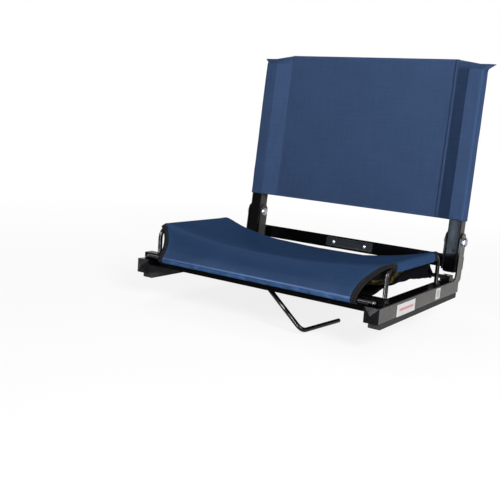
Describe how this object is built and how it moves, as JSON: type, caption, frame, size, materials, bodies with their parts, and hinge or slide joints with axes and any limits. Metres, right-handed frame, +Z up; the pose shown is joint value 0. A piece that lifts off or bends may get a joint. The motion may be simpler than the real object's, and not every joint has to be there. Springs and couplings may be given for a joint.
{
  "type": "stadium_chair",
  "caption": "Folding stadium seat with a low cloth back that folds forward over a slung, padded seat on square-tube rails, and a swinging hook for the bench below.",
  "frame": {"origin": "middle of the underside of the bounding box, level with the lowest point of the hook in its rest pose", "axes": "+X to the right as seen from the front, +Y from the front of the seat to its back, +Z up"},
  "size_m": [0.5196, 0.396, 0.4885],
  "materials": {
    "black_steel": "gloss black paint on steel",
    "black_plastic": "black moulded plastic",
    "rubber": "black rubber strip",
    "zinc": "zinc-plated steel",
    "grey_plate": "dark grey handle plate",
    "seat_blue": "navy woven cloth",
    "back_blue": "blue woven cloth",
    "binding": "dark webbing tape",
    "foam": "olive foam pad",
    "sling": "black under-cloth"
  },
  "bodies": {
    "base": {"side_rail_left": "black_steel", "side_rail_right": "black_steel", "front_cap_left": "black_plastic", "front_cap_right": "black_plastic", "rear_cap_left": "black_plastic", "rear_cap_right": "black_plastic", "foot_strip_left": "rubber", "foot_strip_right": "rubber", "front_bar": "black_steel", "front_rod": "black_steel", "front_rod_dome_left": "zinc", "front_rod_dome_right": "zinc", "rear_rod": "black_steel", "rod_saddle_left": "black_plastic", "rod_saddle_right": "black_plastic", "saddle_screw_left_inner": "zinc", "saddle_screw_left_outer": "zinc", "saddle_screw_right_inner": "zinc", "saddle_screw_right_outer": "zinc", "seat_hoop_left": "black_steel", "seat_hoop_right": "black_steel", "seat_cover": "seat_blue", "seat_pad": "foam", "seat_sling": "sling", "binding_front_left": "binding", "binding_front_right": "binding", "binding_rear_left": "binding", "binding_rear_right": "binding", "pivot_bolt_left": "zinc", "pivot_bolt_right": "zinc", "pivot_spacer_left": "black_plastic", "pivot_spacer_right": "black_plastic", "pivot_washer_left": "zinc", "pivot_washer_right": "zinc", "pivot_nut_left": "zinc", "pivot_nut_right": "zinc", "hook_stud": "zinc"},
    "back": {"upright_left": "black_steel", "upright_right": "black_steel", "upright_top_plug_left": "black_plastic", "upright_top_plug_right": "black_plastic", "upright_foot_plug_left": "black_plastic", "upright_foot_plug_right": "black_plastic", "gusset_left": "black_steel", "gusset_right": "black_steel", "crossbar": "black_steel", "handle_plate_front": "grey_plate", "handle_plate_rear": "grey_plate", "handle_rivet_left": "zinc", "handle_rivet_right": "zinc", "back_panel": "back_blue", "back_pocket_left": "back_blue", "back_pocket_right": "back_blue"},
    "hook": {"bench_hook": "black_steel"}
  },
  "joints": [
    {"name": "back_fold", "type": "hinge", "parent": "base", "child": "back", "pos_m": [0, 0.15283, 0.14704], "axis": [1, 0, 0], "range_deg": [0, 91]},
    {"name": "hook_swing", "type": "hinge", "parent": "base", "child": "hook", "pos_m": [0.0232, -0.16887, 0.07124], "axis": [0, 1, 0], "range_deg": [-40, 140]}
  ]
}
